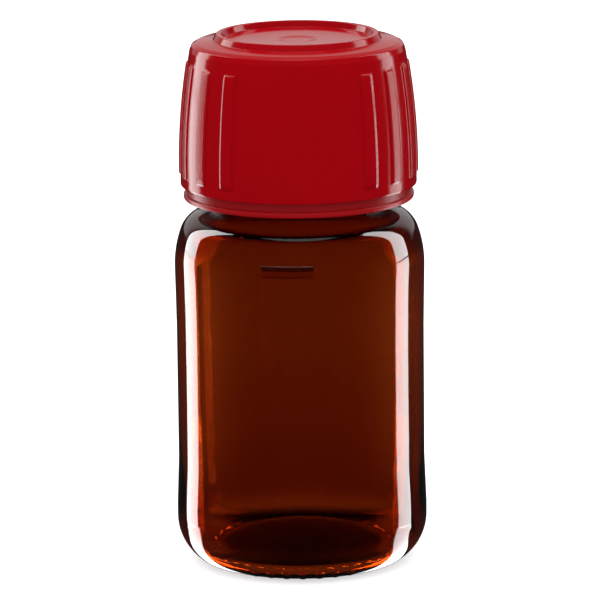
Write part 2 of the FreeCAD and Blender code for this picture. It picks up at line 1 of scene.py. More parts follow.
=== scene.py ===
"""Small amber glass bottle with a red push-and-turn closure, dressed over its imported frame.

The glass, the outer cap and the tamper band are turned here as finer meshes in place of their
nodes. They have the source's sizes, apart from the fill bar, the ribs, the hollow corner under
the neck and the inside of the glass, which follow the photograph. The inner cap and the seal
liner stay as packed. Sizes are in millimetres and degrees, and angles go round from the front
(-Y) towards the right (+X).
"""
import math

import bmesh
import bpy
from mathutils import Matrix, Vector


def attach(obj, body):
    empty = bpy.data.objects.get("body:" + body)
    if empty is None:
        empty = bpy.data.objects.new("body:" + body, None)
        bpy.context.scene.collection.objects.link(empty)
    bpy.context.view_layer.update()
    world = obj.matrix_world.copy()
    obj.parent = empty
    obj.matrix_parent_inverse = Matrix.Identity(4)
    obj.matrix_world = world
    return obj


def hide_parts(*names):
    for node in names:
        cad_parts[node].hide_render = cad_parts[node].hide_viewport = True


MM = 0.001
ON_AXIS = 1e-6

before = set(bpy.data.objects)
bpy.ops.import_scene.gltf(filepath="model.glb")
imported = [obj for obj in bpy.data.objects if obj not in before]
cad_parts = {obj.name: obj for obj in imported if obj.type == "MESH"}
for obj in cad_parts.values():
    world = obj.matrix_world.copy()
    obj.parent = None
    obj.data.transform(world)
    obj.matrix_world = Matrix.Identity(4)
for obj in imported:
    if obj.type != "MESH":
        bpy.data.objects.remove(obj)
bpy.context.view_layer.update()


# Outlines: lists of (across, up) points, turned round the Z axis. Where a list has a third
# number, it holds corners and their roundings, for rounded() to work out.

def arc(centre, radius, first, last, steps):
    """Points on an arc about centre, from the first to the last angle."""
    points = []
    for step in range(steps + 1):
        angle = math.radians(first + (last - first) * step / steps)
        across = centre[0] + radius * math.cos(angle)
        up = centre[1] + radius * math.sin(angle)
        points.append((across, up))
    return points


def line(first, last, steps):
    """Points between first and last, without the two ends."""
    points = []
    for step in range(1, steps):
        across = first[0] + (last[0] - first[0]) * step / steps
        up = first[1] + (last[1] - first[1]) * step / steps
        points.append((across, up))
    return points


def dome(top, reach, rise, steps):
    """Points on a shallow dome, from its top on the axis out to its edge, which lies rise lower."""
    radius = (reach ** 2 + rise ** 2) / (2 * rise)
    spread = math.degrees(math.asin(reach / radius))
    points = arc((0, top - radius), radius, 90, 90 - spread, steps)
    points[0] = (0.0, top)
    return points


def rounded(corners, steps=3):
    """An outline from (across, up, radius) corners, each rounded by its radius."""
    points = []
    for index, (across, up, radius) in enumerate(corners):
        here = Vector((across, up))
        if not radius or index in (0, len(corners) - 1):
            points.append((across, up))
            continue
        back = (Vector(corners[index - 1][:2]) - here).normalized()
        ahead = (Vector(corners[index + 1][:2]) - here).normalized()
        half = back.angle(ahead) / 2
        middle = here + (back + ahead).normalized() * (radius / math.sin(half))
        start = here + back * (radius / math.tan(half)) - middle
        end = here + ahead * (radius / math.tan(half)) - middle
        turn = start.angle_signed(end)
        for step in range(steps + 1):
            spoke = Matrix.Rotation(-turn * step / steps, 2) @ start
            points.append(tuple(middle + spoke))
    return points


def ramp(value, low, high):
    """0 below low, 1 above high, smooth between."""
    share = min(max((value - low) / (high - low), 0.0), 1.0)
    return share * share * (3 - 2 * share)


def window(value, low, high, edge):
    """1 between low and high, falling to 0 over edge on each side."""
    return ramp(value, low - edge, low) * (1 - ramp(value, high, high + edge))


def within(zone, across, up):
    """Whether a point is in a zone, given as (lowest, highest, innermost)."""
    lowest, highest, innermost = zone
    return lowest < up < highest and across > innermost


def even_angles(count, extra=()):
    """Angles all the way round, evenly spaced, and some more."""
    angles = {round(-180 + 360 * step / count, 4) for step in range(count)}
    angles.update(round((angle + 180) % 360 - 180, 4) for angle in extra)
    return sorted(angles)


# Turned meshes

def add_ring(mesh, outline, index, angles, relief):
    """The vertices that one outline point makes: a ring, or a single one on the axis."""
    across, up = outline[index]
    if across < ON_AXIS:
        return [mesh.verts.new((0, 0, up * MM))]
    before = outline[index - 1]
    after = outline[(index + 1) % len(outline)]
    along = Vector((after[0] - before[0], after[1] - before[1])).normalized()
    ring = []
    for angle in angles:
        out, lift = relief(across, up, angle, along) if relief else (0.0, 0.0)
        reach = (across + out) * MM
        height = (up + lift) * MM
        turn = math.radians(angle)
        ring.append(mesh.verts.new((reach * math.sin(turn), -reach * math.cos(turn), height)))
    return ring


def join_rings(mesh, lower, upper):
    """The faces between two neighbouring rings, one of which may be a single vertex."""
    count = max(len(lower), len(upper))
    for index in range(count):
        following = (index + 1) % count
        if len(lower) == 1:
            mesh.faces.new((lower[0], upper[following], upper[index]))
        elif len(upper) == 1:
            mesh.faces.new((lower[index], lower[following], upper[0]))
        else:
            mesh.faces.new((lower[index], lower[following], upper[following], upper[index]))


def turned(name, outline, angles, relief=None):
    """A smooth piece turned round the Z axis. The outline closes on itself unless it starts on
    the axis. relief(across, up, angle, along) tells how far a point moves outwards and up."""
    mesh = bmesh.new()
    rings = [add_ring(mesh, outline, index, angles, relief) for index in range(len(outline))]
    for lower, upper in zip(rings, rings[1:]):
        join_rings(mesh, lower, upper)
    if outline[0][0] > ON_AXIS:
        join_rings(mesh, rings[-1], rings[0])
    bmesh.ops.recalc_face_normals(mesh, faces=mesh.faces)
    data = bpy.data.meshes.new(name)
    mesh.to_mesh(data)
    mesh.free()
    data.shade_smooth()
    piece = bpy.data.objects.new(name, data)
    bpy.context.scene.collection.objects.link(piece)
    return piece


# The source's thread and patterns start at +X, this far round from the front
PATTERN_START = 90

# The glass: base, foot and heel
BODY_RADIUS = 17.9
PUSH_UP = 1.9
FOOT_CENTRE = (13.6, 3.0)
FOOT_RADIUS = 2.75
FOOT_FLAT = 1.4
HEEL_RADIUS = 7.0
HEEL_REACH = HEEL_RADIUS - FOOT_RADIUS
HEEL_ACROSS = BODY_RADIUS - HEEL_RADIUS
HEEL_ANGLE = -math.degrees(math.acos((FOOT_CENTRE[0] - HEEL_ACROSS) / HEEL_REACH))
HEEL_UP = FOOT_CENTRE[1] - HEEL_REACH * math.sin(math.radians(HEEL_ANGLE))

# The knurls of the bearing ring. A flank runs between two shares of the half width.
KNURL_HEIGHT = 0.25
KNURL_LENGTH = 1.2
KNURL_WIDTH = 1.0
KNURL_COUNT = 36
KNURL_RADIUS = FOOT_CENTRE[0] - FOOT_FLAT / 2
KNURL_FLANK = (0.55, 1.25)
KNURL_END = 0.1
KNURL_ZONE = (-1.0, KNURL_HEIGHT + 0.01, 12.1)

# The glass: side and shoulder. The side runs over the heel's land, the slightly recessed label
# panel and the way out to the shoulder.
PANEL_RADIUS = 17.62
SHOULDER_RADIUS = 17.76
SHOULDER_START = 43.0
SIDE_POINTS = [
    (BODY_RADIUS, 7.98),
    (17.86, 9.0),
    (17.72, 12.5),
    (PANEL_RADIUS, 15.0),
    (PANEL_RADIUS, 24.0),
    (PANEL_RADIUS, 34.0),
    (17.68, 38.0),
    (SHOULDER_RADIUS - 0.02, 41.5),
]
SWEEP = 15.0
SWEEP_ANGLE = 20.0
SWEEP_CENTRE = (SHOULDER_RADIUS - SWEEP, SHOULDER_START)
CORNER = 4.0
CORNER_ANGLE = 68.0
CORNER_CENTRE = (
    SWEEP_CENTRE[0] + (SWEEP - CORNER) * math.cos(math.radians(SWEEP_ANGLE)),
    SWEEP_CENTRE[1] + (SWEEP - CORNER) * math.sin(math.radians(SWEEP_ANGLE)),
)

# The fill bar on the shoulder, as (across, up), and where the shoulder carries it
BAR_MIDDLE = (-1.7, 45.25)
BAR_SIZE = (7.4, 1.5)
BAR_RELIEF = 0.25
BAR_FLANK = 0.195
BAR_ZONE = (43.5, 48.0, 16.5)
BAR_ZONE_ANGLE = 40
BAR_MESH_FROM = -20
BAR_MESH_STEP = 0.45
BAR_MESH_COUNT = 63

# The neck finish: hollow corner, locking bead, thread and lip
NECK = 13.0
NECK_FILLET = 2.4
BEAD_FOOT = 53.615
BEAD_TOP = 54.265
BEAD_END = 55.965
BEAD_RADIUS = 14.1
THREAD_ROOT = 12.4
THREAD_WALL = (57.0, 68.4)
THREAD_RELIEF = 1.2
THREAD_CREST_HALF = 0.42
THREAD_BASE_HALF = 1.0
THREAD_PITCH = 3.18
THREAD_FOOT = 61.845
THREAD_TURNS = 1.5
THREAD_END = 0.05
THREAD_ZONE = (57.0, 68.5, 12.0)
LIP = 69.215
LIP_FOOT = 68.0
BORE = 9.5
BEAD_CORNERS = [
    (NECK, BEAD_FOOT, 0.15),
    (BEAD_RADIUS, BEAD_FOOT, 0.3),
    (BEAD_RADIUS, BEAD_TOP, 0.3),
    (THREAD_ROOT, BEAD_END, 0.6),
    (THREAD_ROOT, THREAD_WALL[0], 0),
]
LIP_CORNERS = [
    (THREAD_ROOT, LIP_FOOT, 0),
    (THREAD_ROOT, LIP, 0.8),
    (BORE, LIP, 0.5),
    (BORE, LIP_FOOT, 0),
]

# The inside of the glass: a fillet under the neck, the wall, and a floor that falls to its edge
WALL = 1.9
BORE_END = 62.0
BORE_FILLET = 6.5
INNER_RADIUS = SHOULDER_RADIUS - WALL
INNER_HEIGHTS = (36.0, 28.0, 20.0, 12.0)
INNER_HEEL = 2.8
FLOOR_EDGE = 1.6
FLOOR_MIDDLE = 4.2
INSIDE_ZONE = (4.5, 48.0, BORE + 1)
INSIDE_SLOPE = -0.3

# The wall is thinner at the sides, and low down thicker at the front and the back
SIDE_THINNING = 0.58
LOW_SIDE_SHARE = 0.35
FRONT_THICKENING = 0.22
THICK_SPREAD = 40.0
THICK_POWER = 4
CHANGE_HEIGHTS = (8.0, 44.0)
CHANGE_EDGE = 3.5
LOW_WALL = (18.0, 38.0)

# Steps of the glass's curves
GLASS_ANGLES = 252
DOME_STEPS = 12
RING_STEPS = 9
FOOT_STEPS = 8
HEEL_STEPS = 20
SWEEP_STEPS = 52
CORNER_STEPS = 16
FINISH_STEPS = 5
THREAD_STEPS = 58
LIP_STEPS = 6
INNER_CORNER_STEPS = 12
INNER_SWEEP_STEPS = 10


def glass_outside():
    """From the middle of the base, round the heel and up to the shoulder's end."""
    flat_foot = FOOT_CENTRE[0] - FOOT_FLAT
    points = dome(PUSH_UP, flat_foot, PUSH_UP - KNURL_HEIGHT, DOME_STEPS)
    points += line((flat_foot, KNURL_HEIGHT), (FOOT_CENTRE[0], KNURL_HEIGHT), RING_STEPS)
    points += arc(FOOT_CENTRE, FOOT_RADIUS, -90, HEEL_ANGLE, FOOT_STEPS)
    points += arc((HEEL_ACROSS, HEEL_UP), HEEL_RADIUS, HEEL_ANGLE, 0, HEEL_STEPS)[1:]
    points += SIDE_POINTS
    points += arc(SWEEP_CENTRE, SWEEP, 0, SWEEP_ANGLE, SWEEP_STEPS)
    points += arc(CORNER_CENTRE, CORNER, SWEEP_ANGLE, CORNER_ANGLE, CORNER_STEPS)[1:]
    return points


def neck_root(end, neck):
    """The height where the slope that goes on from the shoulder's end meets a neck's radius."""
    return end[1] + (end[0] - neck) * math.tan(math.radians(90 - CORNER_ANGLE))


def glass_finish():
    """The neck: hollow corner, locking bead, thread wall and lip."""
    end = arc(CORNER_CENTRE, CORNER, CORNER_ANGLE, CORNER_ANGLE, 1)[0]
    hollow_corner = [(*end, 0), (NECK, neck_root(end, NECK), NECK_FILLET)]
    points = rounded(hollow_corner + BEAD_CORNERS, FINISH_STEPS)[1:]
    points += line((THREAD_ROOT, THREAD_WALL[0]), (THREAD_ROOT, THREAD_WALL[1]), THREAD_STEPS)
    points += rounded(LIP_CORNERS, LIP_STEPS)[1:]
    return points


def glass_inside():
    """Down the bore, under the shoulder and down to the middle of the floor."""
    radius = CORNER - WALL
    corner = arc(CORNER_CENTRE, radius, CORNER_ANGLE, SWEEP_ANGLE, INNER_CORNER_STEPS)
    root = neck_root(corner[0], BORE)
    points = rounded([(BORE, BORE_END, 0), (BORE, root, BORE_FILLET), (*corner[0], 0)], LIP_STEPS)
    points += corner[1:]
    points += arc(SWEEP_CENTRE, SWEEP - WALL, SWEEP_ANGLE, 0, INNER_SWEEP_STEPS)[1:]
    points += [(INNER_RADIUS, height) for height in INNER_HEIGHTS]
    reach = INNER_RADIUS - INNER_HEEL
    points += arc((reach, FLOOR_EDGE + INNER_HEEL), INNER_HEEL, 0, -90, HEEL_STEPS)
    floor_points = dome(FLOOR_MIDDLE, reach, FLOOR_MIDDLE - FLOOR_EDGE, DOME_STEPS)
    points += floor_points[-2::-1]
    return points


def knurl_drop(across, angle):
    """How far a knurl stands down from the bearing ring."""
    pitch = 360 / KNURL_COUNT
    off = abs((angle - PATTERN_START + pitch / 2) % pitch - pitch / 2)
    half = math.degrees(KNURL_WIDTH / 2 / KNURL_RADIUS)
    low = KNURL_RADIUS - KNURL_LENGTH / 2
    shape = 1 - ramp(off, half * KNURL_FLANK[0], half * KNURL_FLANK[1])
    shape *= window(across, low + KNURL_END, low + KNURL_LENGTH, KNURL_END)
    return KNURL_HEIGHT * shape


def bar_height(across, up, angle):
    """How far the fill bar stands out of the shoulder."""
    aside = across * math.sin(math.radians(angle)) - BAR_MIDDLE[0]
    half_length = BAR_SIZE[0] / 2 - BAR_FLANK / 2
    half_width = BAR_SIZE[1] / 2 - BAR_FLANK / 2
    shape = window(aside, -half_length, half_length, BAR_FLANK)
    shape *= window(up, BAR_MIDDLE[1] - half_width, BAR_MIDDLE[1] + half_width, BAR_FLANK)
    return BAR_RELIEF * shape


def thread_height(up, angle):
    """How far the thread stands out of the neck."""
    best = 0.0
    for lap in range(math.ceil(THREAD_TURNS) + 1):
        turn = (angle - PATTERN_START) / 360 + lap
        if -THREAD_END < turn < THREAD_TURNS + THREAD_END:
            off = abs(up - THREAD_FOOT - THREAD_PITCH * turn)
            ends = window(turn, 0.0, THREAD_TURNS, THREAD_END)
            best = max(best, ends * (1 - ramp(off, THREAD_CREST_HALF, THREAD_BASE_HALF)))
    return THREAD_RELIEF * best


def wall_change(up, angle):
    """How far the inside moves outwards: at the sides out, and low at the front and back in."""
    turn = min(abs(angle), 180 - abs(angle))
    middle = math.exp(-(turn / THICK_SPREAD) ** THICK_POWER)
    low = 1 - ramp(up, *LOW_WALL)
    sides = SIDE_THINNING * (1 - LOW_SIDE_SHARE * low) * (1 - middle)
    return window(up, *CHANGE_HEIGHTS, CHANGE_EDGE) * (sides - FRONT_THICKENING * middle * low)


def glass_relief(across, up, angle, along):
    """How far a point of the glass moves outwards and up."""
    if within(KNURL_ZONE, across, up):
        return 0.0, -knurl_drop(across, angle)
    if within(BAR_ZONE, across, up) and abs(angle) < BAR_ZONE_ANGLE:
        height = bar_height(across, up, angle)
        return height * along[1], -height * along[0]
    if within(THREAD_ZONE, across, up):
        return thread_height(up, angle), 0.0
    if within(INSIDE_ZONE, across, up) and along[1] < INSIDE_SLOPE:
        return wall_change(up, angle), 0.0
    return 0.0, 0.0


def make_glass():
    """The bottle, with a finer mesh where the fill bar is."""
    bar_angles = [BAR_MESH_FROM + BAR_MESH_STEP * step for step in range(BAR_MESH_COUNT)]
    angles = even_angles(GLASS_ANGLES, bar_angles)
    outline = glass_outside() + glass_finish() + glass_inside()
    glass = turned("glass", outline, angles, glass_relief)
    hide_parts("glass_bottle")
    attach(glass, "bottle")
    return glass


# The outer cap: its side, which is straight below and curves in above, and its top
SHELL_RADIUS = 16.74
SHELL_WALL = 0.9
HEM = 54.565
HEM_INSIDE = 16.04
SIDE_START = 56.965
EDGE_FOOT = 73.615
TAPER = 1.5
EDGE_RADIUS = SHELL_RADIUS - TAPER
SIDE_CURVE = (TAPER ** 2 + (EDGE_FOOT - SIDE_START) ** 2) / (2 * TAPER)
SIDE_CENTRE = (SHELL_RADIUS - SIDE_CURVE, SIDE_START)
HEM_CORNERS = [
    (HEM_INSIDE, HEM + 1.0, 0),
    (HEM_INSIDE, HEM, 0.1),
    (SHELL_RADIUS, HEM, 0.22),
    (SHELL_RADIUS, HEM + 1.0, 0),
]

# The top: its edge, the sloping land, the raised ring, the disc inside it and the gate's recess
DISC = 75.165
RING = 11.1
RING_HALF = 0.32
RING_HEIGHT = 0.9
GATE_RADIUS = 1.9
GATE_DEPTH = 0.2
TOP_CORNERS = [
    (EDGE_RADIUS + 0.05, EDGE_FOOT - 0.45, 0),
    (EDGE_RADIUS, EDGE_FOOT + 0.1, 0.2),
    (EDGE_RADIUS - 0.3, DISC - 0.68, 0.25),
    (EDGE_RADIUS - 1.0, DISC - 0.3, 0.35),
    (RING + 0.8, DISC, 0.18),
    (RING + RING_HALF, DISC + RING_HEIGHT, 0.16),
    (RING - RING_HALF, DISC + RING_HEIGHT, 0.16),
    (RING - 0.7, DISC, 0.18),
    (GATE_RADIUS + 1.0, DISC, 1.2),
    (GATE_RADIUS, DISC - 0.16, 1.2),
    (0.0, DISC - GATE_DEPTH, 0),
]

# Inside the outer cap: its ceiling, the corner under it and the hook over the snap bead
CEILING = 73.515
CEILING_MIDDLE = 0.5
CEILING_CORNER = 72.9
CEILING_BEVEL = 0.6
CEILING_ROUNDING = 0.2
INSIDE_TOP = 70.0
INSIDE_HEIGHTS = (66.0, 62.0, 59.0)
HOOK = [(15.835, 57.115), (15.1, 57.115), (15.1, 56.715), (HEM_INSIDE, 56.315)]

# The ribs, in two mirrored groups
RIB_RELIEF = 0.22
RIB_ANGLE = 7.0
RIB_FLANK = 0.3
RIB_FIRST = 37.0
RIB_SPAN = 106.0
RIB_COUNT = 7
RIB_FOOT = 56.165
RIB_HEAD = 71.915
RIB_END = 0.15
RIB_ZONE = (RIB_FOOT - 0.2, RIB_HEAD + 0.3, SHELL_RADIUS - 1.7)
RIB_SLOPE = 0.5

# Heights and angles that the cap's mesh needs for its hem and for the edges of its ribs
CAP_ANGLES = 240
CAP_TOP_STEPS = 4
HEM_RISES = (0.35, 0.9, 1.4)
RIB_RISES = (0, 0.08, 0.16)
SIDE_STEP = 1.2
SIDE_STEPS = 12
HEAD_RISE = 0.6
EDGE_DROP = 0.5
RIB_EDGES = (-0.32, -0.1, 0.1, 0.32)

# The drive lugs under the top
LUG_COUNT = 8
LUG_HEIGHTS = (72.615, 74.2)
LUG_INNER = 7.5
LUG_OUTER = 12.4
LUG_HALF = 8.5
BLOCK_FACES = (
    (3, 2, 1, 0), (4, 5, 6, 7), (0, 1, 5, 4), (1, 2, 6, 5), (2, 3, 7, 6), (3, 0, 4, 7),
)


def rib_angles():
    """The middles of all the ribs."""
    places = [RIB_FIRST + RIB_SPAN * step / (RIB_COUNT - 1) for step in range(RIB_COUNT)]
    return places + [-place for place in places]


def on_rib(up, angle):
    """1 on a rib and 0 off it."""
    off = min(abs((angle - place + 180) % 360 - 180) for place in rib_angles())
    side = 1 - ramp(off, RIB_ANGLE / 2 - RIB_FLANK, RIB_ANGLE / 2 + RIB_FLANK)
    return side * window(up, RIB_FOOT + RIB_END, RIB_HEAD, RIB_END)


def cap_relief(across, up, angle, along):
    """How far a point of the outer cap moves outwards and up."""
    if within(RIB_ZONE, across, up) and along[1] > RIB_SLOPE:
        return RIB_RELIEF * on_rib(up, angle), 0.0
    return 0.0, 0.0


def side_at(up, inset=0.0):
    """Radius of the outer cap's side at a height, or of its inside with the wall as inset."""
    return SIDE_CENTRE[0] + math.sqrt((SIDE_CURVE - inset) ** 2 - (up - SIDE_START) ** 2)


def cap_side():
    """The hem's rounded edge and the side up to the top edge, without the rounding there."""
    heights = [HEM + rise for rise in HEM_RISES]
    heights += [foot + rise for foot in (RIB_FOOT, RIB_HEAD) for rise in RIB_RISES]
    heights += [SIDE_START + SIDE_STEP * step for step in range(SIDE_STEPS + 1)]
    heights += [RIB_HEAD + HEAD_RISE, EDGE_FOOT - EDGE_DROP]
    heights = sorted(set(round(up, 3) for up in heights))
    side = [(SHELL_RADIUS if up <= SIDE_START else side_at(up), up) for up in heights]
    return rounded(HEM_CORNERS)[1:-1] + side


def cap_inside():
    """From the middle of the ceiling, out and down to the hook."""
    corner = side_at(CEILING_CORNER, SHELL_WALL)
    points = [(0.0, CEILING)]
    points += rounded([
        (CEILING_MIDDLE, CEILING, 0),
        (corner - CEILING_BEVEL, CEILING, CEILING_ROUNDING),
        (corner, CEILING_CORNER, CEILING_ROUNDING),
        (side_at(INSIDE_TOP, SHELL_WALL), INSIDE_TOP, 0),
    ])
    points += [(side_at(up, SHELL_WALL), up) for up in INSIDE_HEIGHTS]
    return points + HOOK


def make_outer_cap():
    """The ribbed outer shell, with its lugs, and with a finer mesh at the ribs' edges."""
    edges = [
        place + side * (RIB_ANGLE / 2 + off)
        for place in rib_angles() for side in (-1, 1) for off in RIB_EDGES
    ]
    outline = cap_inside() + cap_side() + rounded(TOP_CORNERS, CAP_TOP_STEPS)[1:]
    cap = turned("cap_shell", outline, even_angles(CAP_ANGLES, edges), cap_relief)
    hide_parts("outer_cap")
    add_lugs(cap)
    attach(cap, "outer_cap")
    return cap


def add_lugs(cap):
    """The drive lugs under the top, as blocks that share the shell's mesh."""
    sides = ((LUG_INNER, -1), (LUG_OUTER, -1), (LUG_OUTER, 1), (LUG_INNER, 1))
    mesh = bmesh.new()
    mesh.from_mesh(cap.data)
    for lug in range(LUG_COUNT):
        middle = math.radians(360 / LUG_COUNT * lug + 180 / LUG_COUNT)
        corners = []
        for up in LUG_HEIGHTS:
            for reach, side in sides:
                turn = middle + side * math.radians(LUG_HALF)
                place = (reach * math.cos(turn) * MM, reach * math.sin(turn) * MM, up * MM)
                corners.append(mesh.verts.new(place))
        for face in BLOCK_FACES:
            mesh.faces.new([corners[index] for index in face]).smooth = False
    mesh.to_mesh(cap.data)
    mesh.free()


# The tamper band: an inner lip under the bead, a wide rim below and a wall inside the hem
BAND_LIP = 13.25
BAND_LIP_TOP = 53.315
BAND_FOOT = 52.515
BAND_RIM = 16.34
BAND_RIM_TOP = 53.365
BAND_SIDE = 15.89
BAND_INSIDE = 14.25
BAND_LEDGE = 53.465
BAND_TOP = 54.865
BAND_STEPS = 4
BAND_SEAM = (53.0, 53.1)
BAND_CORNERS = [
    (BAND_LIP, BAND_SEAM[0], 0),
    (BAND_LIP, BAND_FOOT, 0.12),
    (BAND_RIM, BAND_FOOT, 0.4),
    (BAND_RIM, BAND_RIM_TOP, 0.2),
    (BAND_SIDE, BAND_RIM_TOP, 0.08),
    (BAND_SIDE, BAND_TOP, 0.1),
    (BAND_INSIDE, BAND_TOP, 0.1),
    (BAND_INSIDE, BAND_LEDGE, 0.05),
    (BAND_LIP, BAND_LIP_TOP, 0.05),
    (BAND_LIP, BAND_SEAM[1], 0),
]
BRIDGE_COUNT = 8
BRIDGE_MIDDLE = 14.6
BRIDGE_WIDTH = 0.6
BRIDGE_HEIGHT = 0.35


def make_tamper_band():
    """The band, with the stubs of its broken bridges on top."""
    outline = rounded(BAND_CORNERS, BAND_STEPS)
    band = turned("tamper_ring", outline, even_angles(CAP_ANGLES))
    stub = Matrix.Diagonal((BRIDGE_WIDTH * MM, BRIDGE_WIDTH * MM, BRIDGE_HEIGHT * MM, 1))
    lift = (BRIDGE_MIDDLE * MM, 0, (BAND_TOP + BRIDGE_HEIGHT / 2) * MM)
    mesh = bmesh.new()
    mesh.from_mesh(band.data)
    for bridge in range(BRIDGE_COUNT):
        turn = Matrix.Rotation(2 * math.pi * bridge / BRIDGE_COUNT, 4, "Z")
        place = turn @ Matrix.Translation(lift) @ stub
        bmesh.ops.create_cube(mesh, size=1, matrix=place)
    mesh.to_mesh(band.data)
    mesh.free()
    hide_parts("tamper_band")
    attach(band, "bottle")
    return band


# Material and world nodes

class Graph:
    """Short ways to add nodes to one node tree."""

    def __init__(self, tree):
        self.nodes = tree.nodes
        self.links = tree.links

    def feed(self, socket, value):
        """Gives a socket another socket's value, or a plain one."""
        if isinstance(value, bpy.types.NodeSocket):
            self.links.new(value, socket)
        else:
            socket.default_value = value

    def maths(self, operation, *values):
        """The result of a Math node."""
        node = self.nodes.new("ShaderNodeMath")
        node.operation = operation
        for socket, value in zip(node.inputs, values):
            self.feed(socket, value)
        return node.outputs["Value"]

    def ease(self, value, low, high, from_value=0.0, to_value=1.0):
        """from_value below low, to_value above high, smooth between."""
        node = self.nodes.new("ShaderNodeMapRange")
        node.interpolation_type = "SMOOTHSTEP"
        self.feed(node.inputs["Value"], value)
        node.inputs["From Min"].default_value = low
        node.inputs["From Max"].default_value = high
        node.inputs["To Min"].default_value = from_value
        node.inputs["To Max"].default_value = to_value
        return node.outputs["Result"]

    def between(self, value, low, high):
        """A value from 0 to 1, spread evenly from low to high."""
        node = self.nodes.new("ShaderNodeMapRange")
        node.inputs["To Min"].default_value = low
        node.inputs["To Max"].default_value = high
        self.feed(node.inputs["Value"], value)
        return node.outputs["Result"]

    def noise(self, scale, detail=2.0, stretch=(1, 1, 1)):
        """Noise fixed to the piece, in cells per metre."""
        place = self.nodes.new("ShaderNodeTexCoord")
        mapping = self.nodes.new("ShaderNodeMapping")
        mapping.inputs["Scale"].default_value = stretch
        noise = self.nodes.new("ShaderNodeTexNoise")
        noise.inputs["Scale"].default_value = scale
        noise.inputs["Detail"].default_value = detail
        self.links.new(place.outputs["Object"], mapping.inputs["Vector"])
        self.links.new(mapping.outputs["Vector"], noise.inputs["Vector"])
        return noise.outputs["Fac"]

    def bump(self, shader, height, depth):
        """A height from 0 to 1 as bump of a depth in millimetres."""
        bump = self.nodes.new("ShaderNodeBump")
        bump.inputs["Distance"].default_value = depth * MM
        bump.inputs["Strength"].default_value = 1.0
        self.links.new(height, bump.inputs["Height"])
        self.links.new(bump.outputs["Normal"], shader.inputs["Normal"])

    def away_from_back(self, place):
        """The angle between a direction and straight behind the object, and its parts."""
        parts = self.nodes.new("ShaderNodeSeparateXYZ")
        self.links.new(place, parts.inputs["Vector"])
        turn = self.maths("ARCTAN2", parts.outputs["X"], parts.outputs["Y"])
        return self.maths("MULTIPLY", self.maths("ABSOLUTE", turn), 180 / math.pi), parts.outputs

    def mixed(self, share, first, second):
        """The first shader where share is 0 and the second where it is 1."""
        node = self.nodes.new("ShaderNodeMixShader")
        self.links.new(share, node.inputs["Fac"])
        self.links.new(first, node.inputs[1])
        self.links.new(second, node.inputs[2])
        return node.outputs["Shader"]


def new_material(name):
    """A material, its graph and its shader."""
    material = bpy.data.materials.new(name)
    material.use_nodes = True
    graph = Graph(material.node_tree)
    return material, graph, graph.nodes["Principled BSDF"]


def paint(piece, *materials):
    """Gives a piece its materials, in the order of its faces' material numbers."""
    piece.data.materials.clear()
    for material in materials:
        piece.data.materials.append(material)


# The glass's materials. Absorption is per metre, and the waviness is long up the bottle.
GLASS_IOR = 1.52
GLASS_COLOUR = (0.698, 0.373, 0.005)
GLASS_DENSITY = 2100
WAVE_SCALE = 120
WAVE_DETAIL = 1.0
WAVE_STRETCH = (1, 1, 0.2)
WAVE_DEPTH = 0.012
CLEAR = (1, 1, 1)
EVEN = (1, 1, 1)

# The fill bar's shaded upper half: its colour, its roughness and the faces that take it
BAR_SHADE = (0.01, 0.0004, 0.0001)
BAR_SHADE_ROUGHNESS = 0.03
BAR_SHADE_FRONT = -16
BAR_SHADE_DEPTH = 0.6
BAR_SHADE_END = 0.05
BAR_SHADE_FOOT = 0.08


def glass_skin(name, colour, roughness, stretch):
    """A slightly wavy glass surface, without what is in the glass."""
    material, graph, shader = new_material(name)
    shader.inputs["Base Color"].default_value = (*colour, 1)
    shader.inputs["Roughness"].default_value = roughness
    shader.inputs["IOR"].default_value = GLASS_IOR
    shader.inputs["Transmission Weight"].default_value = 1.0
    graph.bump(shader, graph.noise(WAVE_SCALE, WAVE_DETAIL, stretch), WAVE_DEPTH)
    return material, graph


def amber_glass():
    """Clear at its surface, with the amber in its depth."""
    material, graph = glass_skin("amber glass", CLEAR, 0.0, WAVE_STRETCH)
    volume = graph.nodes.new("ShaderNodeVolumeAbsorption")
    volume.inputs["Color"].default_value = (*GLASS_COLOUR, 1)
    volume.inputs["Density"].default_value = GLASS_DENSITY
    output = graph.nodes["Material Output"]
    graph.links.new(volume.outputs["Volume"], output.inputs["Volume"])
    return material


def shaded_glass():
    """The fill bar's shaded upper half. It stands for the wall behind it too, so it has no volume:
    a second volume in one closed mesh would turn what is behind it black."""
    material, _ = glass_skin("amber glass in shade", BAR_SHADE, BAR_SHADE_ROUGHNESS, EVEN)
    return material


def shade_bar(glass):
    """The fill bar's upper half takes the glass's second material."""
    for face in glass.data.polygons:
        middle = face.center / MM
        aside = abs(middle.x - BAR_MIDDLE[0])
        rise = middle.z - BAR_MIDDLE[1]
        reach = math.hypot(middle.x, middle.y)
        near = middle.y < BAR_SHADE_FRONT and reach > SHOULDER_RADIUS - BAR_SHADE_DEPTH
        high = BAR_SHADE_FOOT < rise < BAR_SIZE[1] / 2
        if near and high and aside < BAR_SIZE[0] / 2 - BAR_SHADE_END:
            face.material_index = 1


# The plastics: a slight cloud in the colour, and the mould's grain. Each red is a roughness, the
# grain's scale in cells per metre and its depth.
GLOSSY = (0.12, 900, 0.002)
GRAINED = (0.26, 4200, 0.035)
SATIN = (0.3, 1500, 0.01)
RED = (0.24, 0.0004, 0.0026)
RED_CLOUD = 0.06
RED_CLOUD_SCALE = 90
RED_SPECULAR = 0.16
GRAIN_DETAIL = 3.0
GRAIN_SPREAD = 0.15
LINER_WHITE = (0.8, 0.8, 0.77)
LINER_GRAIN = 2500
LINER_ROUGHNESS = (0.5, 0.65)
LINER_DEPTH = 0.02

# A face is a rib's top where it stands out by this share of the relief, and on_rib() gives this
RIB_TOP_SHARE = 0.6
RIB_TOP_SURE = 0.9


